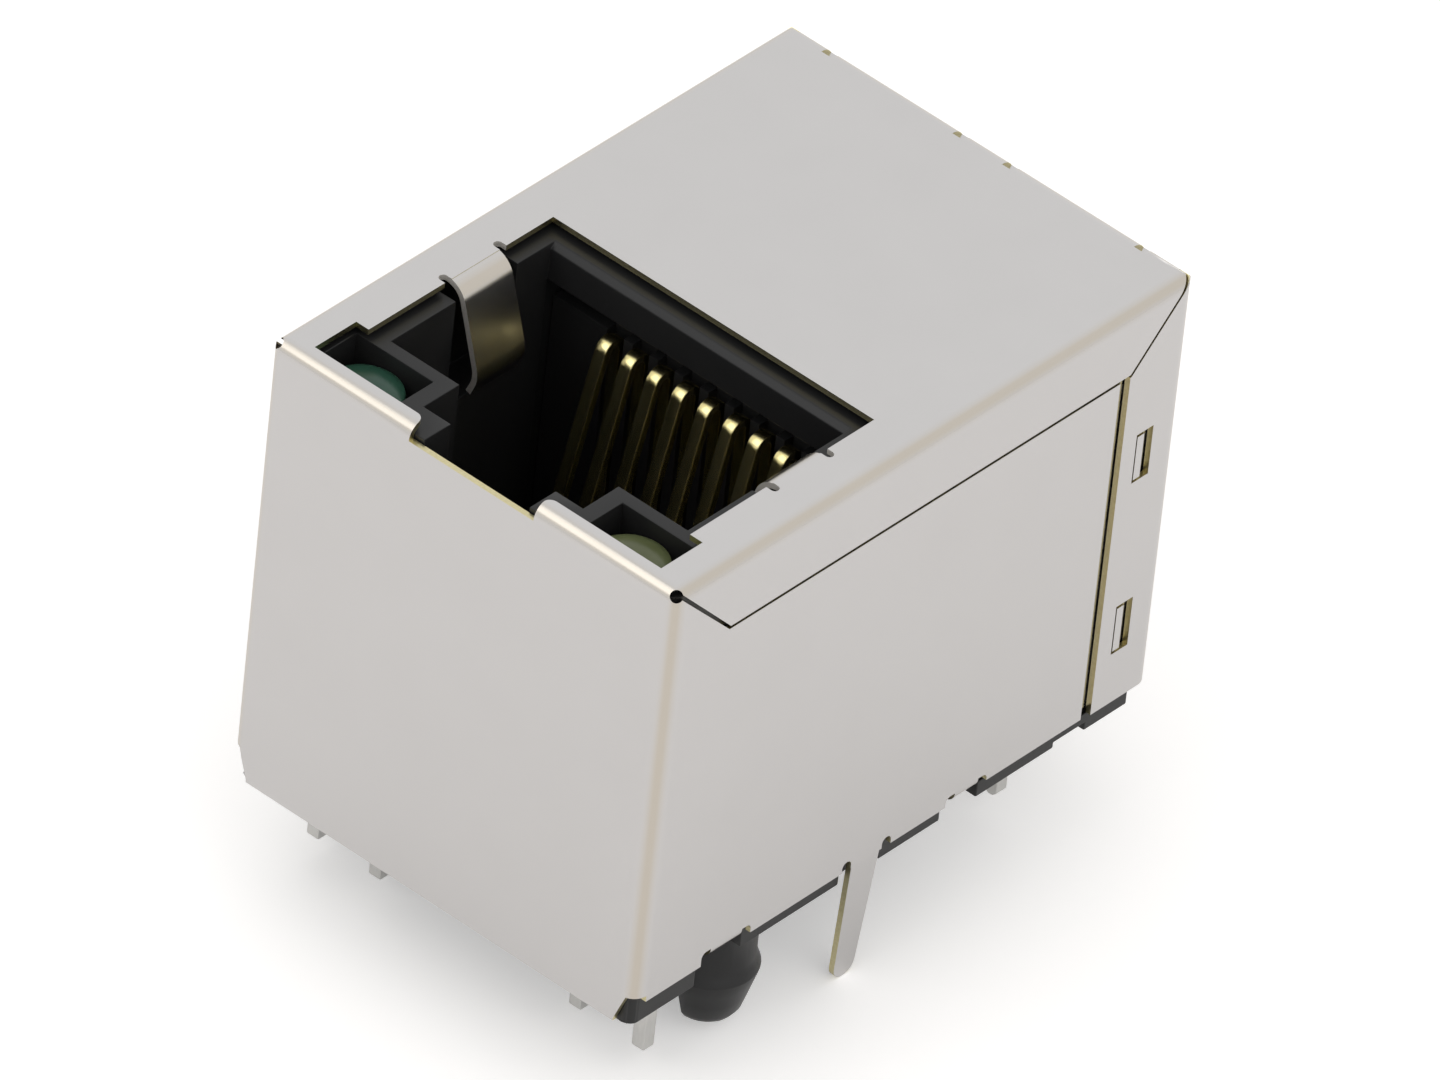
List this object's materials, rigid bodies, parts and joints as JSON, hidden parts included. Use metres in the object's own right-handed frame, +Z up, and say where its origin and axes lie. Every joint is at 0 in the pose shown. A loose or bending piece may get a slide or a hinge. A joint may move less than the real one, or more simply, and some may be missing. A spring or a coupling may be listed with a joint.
{
  "type": "board connector jack",
  "caption": "Shielded top-entry modular plug jack for a circuit board, with two indicator lamps and a transformer module behind the plug cavity.",
  "frame": {"origin": "on the board's top face, midway between the two locating pegs", "axes": "+Z up from the board towards the plug's mouth, +Y from the front wall to the rear, X across the jack"},
  "size_m": [0.0164, 0.0231, 0.0202],
  "materials": {
    "nickel_sheet": "satin nickel over brass sheet",
    "black_plastic": "moulded, fine matt",
    "gold_wire": "gold-plated bronze wire",
    "green_epoxy": "tinted epoxy",
    "yellow_epoxy": "tinted epoxy",
    "tin_lead": "tin-plated",
    "circuit_board": "solder mask over glass laminate",
    "ceramic_chip": "sintered ceramic",
    "resistor_film": "glazed film on ceramic",
    "ferrite": "pressed ferrite",
    "enamelled_copper": "enamelled copper wire"
  },
  "bodies": {
    "root": {"shield": "nickel_sheet", "housing": "black_plastic", "contact_carrier": "black_plastic", "contact_1": "gold_wire", "contact_2": "gold_wire", "contact_3": "gold_wire", "contact_4": "gold_wire", "contact_5": "gold_wire", "contact_6": "gold_wire", "contact_7": "gold_wire", "contact_8": "gold_wire", "green_lamp": "green_epoxy", "green_lamp_anode": "tin_lead", "green_lamp_cathode": "tin_lead", "yellow_lamp": "yellow_epoxy", "yellow_lamp_anode": "tin_lead", "yellow_lamp_cathode": "tin_lead", "module_base": "black_plastic", "module_board": "circuit_board", "module_cover": "black_plastic", "chip_capacitor": "ceramic_chip", "chip_resistors": "resistor_film", "toroid_core_1": "ferrite", "toroid_core_2": "ferrite", "toroid_core_3": "ferrite", "toroid_core_4": "ferrite", "winding_1": "enamelled_copper", "winding_2": "enamelled_copper", "winding_3": "enamelled_copper", "winding_4": "enamelled_copper", "terminal_pin_1": "tin_lead", "terminal_pin_2": "tin_lead", "terminal_pin_3": "tin_lead", "terminal_pin_4": "tin_lead", "terminal_pin_5": "tin_lead", "terminal_pin_6": "tin_lead", "terminal_pin_7": "tin_lead", "terminal_pin_8": "tin_lead", "terminal_pin_9": "tin_lead", "terminal_pin_10": "tin_lead"}
  },
  "joints": []
}
